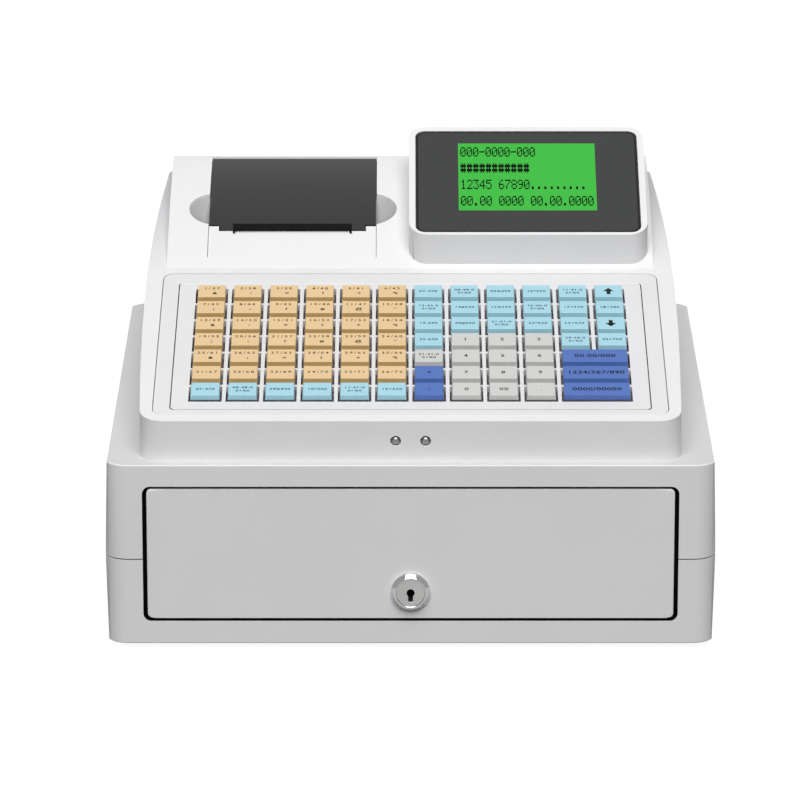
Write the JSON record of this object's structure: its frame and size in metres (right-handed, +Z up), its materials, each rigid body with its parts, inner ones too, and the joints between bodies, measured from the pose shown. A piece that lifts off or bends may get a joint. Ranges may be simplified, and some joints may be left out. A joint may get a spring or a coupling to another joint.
{
  "type": "cash register with drawer",
  "caption": "Ticket register: sloped keyboard of coloured keys, receipt printer under a smoked lid and a raised green display, on a housing with a locking cash drawer.",
  "frame": {"origin": "middle of the object's footprint, at the bottom of the rubber feet", "axes": "+X to the operator's right, +Y to the back, +Z up"},
  "size_m": [0.311, 0.3014, 0.2057],
  "materials": {
    "housing_grey": "fine satin texture",
    "case_white": "smooth satin",
    "black_rubber": "matt",
    "grey_rubber": "matt",
    "zinc_steel": "zinc plated",
    "spring_steel": "satin wire",
    "chrome": "polished",
    "black_plastic": "satin",
    "grey_plastic": "satin",
    "gear_plastic": "smooth",
    "ceramic": "glazed",
    "paper": "matt paper",
    "smoked_plastic": "clear smoked, gloss",
    "dark_glass": "gloss",
    "lcd_green": "glowing panel",
    "circuit_board": "solder mask",
    "tan_keys": "satin",
    "light_blue_keys": "satin",
    "grey_keys": "satin",
    "blue_keys": "satin"
  },
  "bodies": {
    "register": {"lower_shell": "housing_grey", "upper_shell": "housing_grey", "top_case": "case_white", "rubber_feet": "black_rubber", "case_screws": "zinc_steel", "drawer_runners": "zinc_steel", "eject_spring": "spring_steel", "release_solenoid": "zinc_steel", "keyboard_bezel": "case_white", "key_plate": "case_white", "key_mat": "grey_rubber", "keyboard_board": "circuit_board", "printer_cover": "case_white", "printer_frame": "black_plastic", "feed_motor": "zinc_steel", "print_head": "ceramic", "display_housing": "case_white", "display_window": "dark_glass", "lcd_panel": "lcd_green", "customer_window": "dark_glass", "main_board": "circuit_board", "data_sockets": "zinc_steel", "power_inlet": "black_plastic"},
    "drawer": {"drawer_front": "housing_grey", "drawer_box": "zinc_steel", "cash_tray": "black_plastic", "clip_rod": "zinc_steel", "lock_housing": "chrome"},
    "lid": {"paper_lid": "smoked_plastic", "tear_bar": "black_plastic"},
    "lock": {"lock_plug": "chrome", "lock_cam": "zinc_steel"},
    "latch": {"latch_lever": "zinc_steel"},
    "plunger": {"solenoid_plunger": "zinc_steel"},
    "left_clip": {"bill_clip_1": "grey_plastic"},
    "middle_clip": {"bill_clip_2": "grey_plastic"},
    "right_clip": {"bill_clip_3": "grey_plastic"},
    "platen": {"platen_roller": "black_rubber", "platen_gear": "gear_plastic"},
    "pinion": {"motor_pinion": "gear_plastic"},
    "roll": {"paper_roll": "paper"},
    "left_wheel": {"left_roller": "gear_plastic"},
    "right_wheel": {"right_roller": "gear_plastic"},
    "rocker": {"power_switch": "black_plastic"},
    "plu_keys_a_body": {"plu_keys_a": "tan_keys"},
    "plu_keys_b_body": {"plu_keys_b": "tan_keys"},
    "plu_keys_c_body": {"plu_keys_c": "tan_keys"},
    "shift_keys_body": {"shift_keys": "light_blue_keys"},
    "page_keys_1_body": {"page_keys_1": "light_blue_keys"},
    "page_keys_2_body": {"page_keys_2": "light_blue_keys"},
    "page_keys_3_body": {"page_keys_3": "light_blue_keys"},
    "page_keys_4_body": {"page_keys_4": "light_blue_keys"},
    "number_keys_1_body": {"number_keys_1": "grey_keys"},
    "number_keys_2_body": {"number_keys_2": "grey_keys"},
    "number_keys_3_body": {"number_keys_3": "grey_keys"},
    "number_keys_4_body": {"number_keys_4": "grey_keys"},
    "blue_keys_body": {"blue_keys": "blue_keys"},
    "upper_total_key_body": {"upper_total_key": "blue_keys"},
    "middle_total_key_body": {"middle_total_key": "blue_keys"},
    "lower_total_key_body": {"lower_total_key": "blue_keys"}
  },
  "joints": [
    {"name": "drawer_slide", "type": "slide", "parent": "register", "child": "drawer", "axis": [0, -1, 0], "range_m": [0, 0.19]},
    {"name": "lid_hinge", "type": "hinge", "parent": "register", "child": "lid", "pos_m": [-0.0633, 0.14049, 0.18156], "axis": [-1, 0, 0], "range_deg": [0, 100]},
    {"name": "lock_turn", "type": "hinge", "parent": "drawer", "child": "lock", "pos_m": [0, -0.1369, 0.0311], "axis": [0, -1, 0], "range_deg": [0, 90]},
    {"name": "power_rocker", "type": "hinge", "parent": "register", "child": "rocker", "pos_m": [-0.008, 0.148, 0.1395], "axis": [1, 0, 0], "range_deg": [-20, 0]},
    {"name": "platen_spin", "type": "hinge", "parent": "lid", "child": "platen", "pos_m": [-0.0633, 0.07569, 0.15748], "axis": [1, 0, 0], "continuous": true},
    {"name": "roll_spin", "type": "hinge", "parent": "register", "child": "roll", "pos_m": [-0.0633, 0.10789, 0.1363], "axis": [1, 0, 0], "continuous": true},
    {"name": "pinion_spin", "type": "hinge", "parent": "register", "child": "pinion", "pos_m": [-0.0633, 0.0794, 0.1475], "axis": [1, 0, 0], "continuous": true},
    {"name": "left_clip_hinge", "type": "hinge", "parent": "drawer", "child": "left_clip", "pos_m": [-0.08113, 0.09775, 0.0645], "axis": [-1, 0, 0], "range_deg": [0, 45], "stiffness_Nm_per_rad": 0.01, "springref_deg": -17.19},
    {"name": "middle_clip_hinge", "type": "hinge", "parent": "drawer", "child": "middle_clip", "pos_m": [0, 0.09775, 0.0645], "axis": [-1, 0, 0], "range_deg": [0, 45], "stiffness_Nm_per_rad": 0.01, "springref_deg": -17.19},
    {"name": "right_clip_hinge", "type": "hinge", "parent": "drawer", "child": "right_clip", "pos_m": [0.08113, 0.09775, 0.0645], "axis": [-1, 0, 0], "range_deg": [0, 45], "stiffness_Nm_per_rad": 0.01, "springref_deg": -17.19},
    {"name": "left_wheel_spin", "type": "hinge", "parent": "drawer", "child": "left_wheel", "pos_m": [-0.1288, 0.10175, 0.027], "axis": [1, 0, 0], "continuous": true},
    {"name": "right_wheel_spin", "type": "hinge", "parent": "drawer", "child": "right_wheel", "pos_m": [0.1288, 0.10175, 0.027], "axis": [1, 0, 0], "continuous": true},
    {"name": "latch_turn", "type": "hinge", "parent": "register", "child": "latch", "pos_m": [0.038, 0.14175, 0.0275], "axis": [0, 0, 1], "range_deg": [-12, 0]},
    {"name": "plunger_slide", "type": "slide", "parent": "register", "child": "plunger", "axis": [1, 0, 0], "range_m": [-0.0021, 0]},
    {"name": "plu_keys_a_press", "type": "slide", "parent": "register", "child": "plu_keys_a_body", "axis": [0, 0.1736, -0.9848], "range_m": [0, 0.002], "stiffness_N_per_m": 600, "springref_m": -0.001, "deforming": ["key_mat"]},
    {"name": "plu_keys_b_press", "type": "slide", "parent": "register", "child": "plu_keys_b_body", "axis": [0, 0.1736, -0.9848], "range_m": [0, 0.002], "stiffness_N_per_m": 600, "springref_m": -0.001, "deforming": ["key_mat"]},
    {"name": "plu_keys_c_press", "type": "slide", "parent": "register", "child": "plu_keys_c_body", "axis": [0, 0.1736, -0.9848], "range_m": [0, 0.002], "stiffness_N_per_m": 600, "springref_m": -0.001, "deforming": ["key_mat"]},
    {"name": "shift_keys_press", "type": "slide", "parent": "register", "child": "shift_keys_body", "axis": [0, 0.1736, -0.9848], "range_m": [0, 0.002], "stiffness_N_per_m": 600, "springref_m": -0.001, "deforming": ["key_mat"]},
    {"name": "page_keys_1_press", "type": "slide", "parent": "register", "child": "page_keys_1_body", "axis": [0, 0.1736, -0.9848], "range_m": [0, 0.002], "stiffness_N_per_m": 600, "springref_m": -0.001, "deforming": ["key_mat"]},
    {"name": "page_keys_2_press", "type": "slide", "parent": "register", "child": "page_keys_2_body", "axis": [0, 0.1736, -0.9848], "range_m": [0, 0.002], "stiffness_N_per_m": 600, "springref_m": -0.001, "deforming": ["key_mat"]},
    {"name": "page_keys_3_press", "type": "slide", "parent": "register", "child": "page_keys_3_body", "axis": [0, 0.1736, -0.9848], "range_m": [0, 0.002], "stiffness_N_per_m": 600, "springref_m": -0.001, "deforming": ["key_mat"]},
    {"name": "page_keys_4_press", "type": "slide", "parent": "register", "child": "page_keys_4_body", "axis": [0, 0.1736, -0.9848], "range_m": [0, 0.002], "stiffness_N_per_m": 600, "springref_m": -0.001, "deforming": ["key_mat"]},
    {"name": "number_keys_1_press", "type": "slide", "parent": "register", "child": "number_keys_1_body", "axis": [0, 0.1736, -0.9848], "range_m": [0, 0.002], "stiffness_N_per_m": 600, "springref_m": -0.001, "deforming": ["key_mat"]},
    {"name": "number_keys_2_press", "type": "slide", "parent": "register", "child": "number_keys_2_body", "axis": [0, 0.1736, -0.9848], "range_m": [0, 0.002], "stiffness_N_per_m": 600, "springref_m": -0.001, "deforming": ["key_mat"]},
    {"name": "number_keys_3_press", "type": "slide", "parent": "register", "child": "number_keys_3_body", "axis": [0, 0.1736, -0.9848], "range_m": [0, 0.002], "stiffness_N_per_m": 600, "springref_m": -0.001, "deforming": ["key_mat"]},
    {"name": "number_keys_4_press", "type": "slide", "parent": "register", "child": "number_keys_4_body", "axis": [0, 0.1736, -0.9848], "range_m": [0, 0.002], "stiffness_N_per_m": 600, "springref_m": -0.001, "deforming": ["key_mat"]},
    {"name": "blue_keys_press", "type": "slide", "parent": "register", "child": "blue_keys_body", "axis": [0, 0.1736, -0.9848], "range_m": [0, 0.002], "stiffness_N_per_m": 600, "springref_m": -0.001, "deforming": ["key_mat"]},
    {"name": "upper_total_key_press", "type": "slide", "parent": "register", "child": "upper_total_key_body", "axis": [0, 0.1736, -0.9848], "range_m": [0, 0.002], "stiffness_N_per_m": 300, "springref_m": -0.001, "deforming": ["key_mat"]},
    {"name": "middle_total_key_press", "type": "slide", "parent": "register", "child": "middle_total_key_body", "axis": [0, 0.1736, -0.9848], "range_m": [0, 0.002], "stiffness_N_per_m": 300, "springref_m": -0.001, "deforming": ["key_mat"]},
    {"name": "lower_total_key_press", "type": "slide", "parent": "register", "child": "lower_total_key_body", "axis": [0, 0.1736, -0.9848], "range_m": [0, 0.002], "stiffness_N_per_m": 300, "springref_m": -0.001, "deforming": ["key_mat"]}
  ],
  "couplings": [
    {"joint": "roll_spin", "follows": "platen_spin", "ratio": 0.18333},
    {"joint": "pinion_spin", "follows": "platen_spin", "ratio": -1.5},
    {"joint": "left_wheel_spin", "follows": "drawer_slide", "rad_per_m": 153.85},
    {"joint": "right_wheel_spin", "follows": "drawer_slide", "rad_per_m": 153.85},
    {"joint": "plunger_slide", "follows": "latch_turn", "m_per_rad": 0.0095}
  ]
}
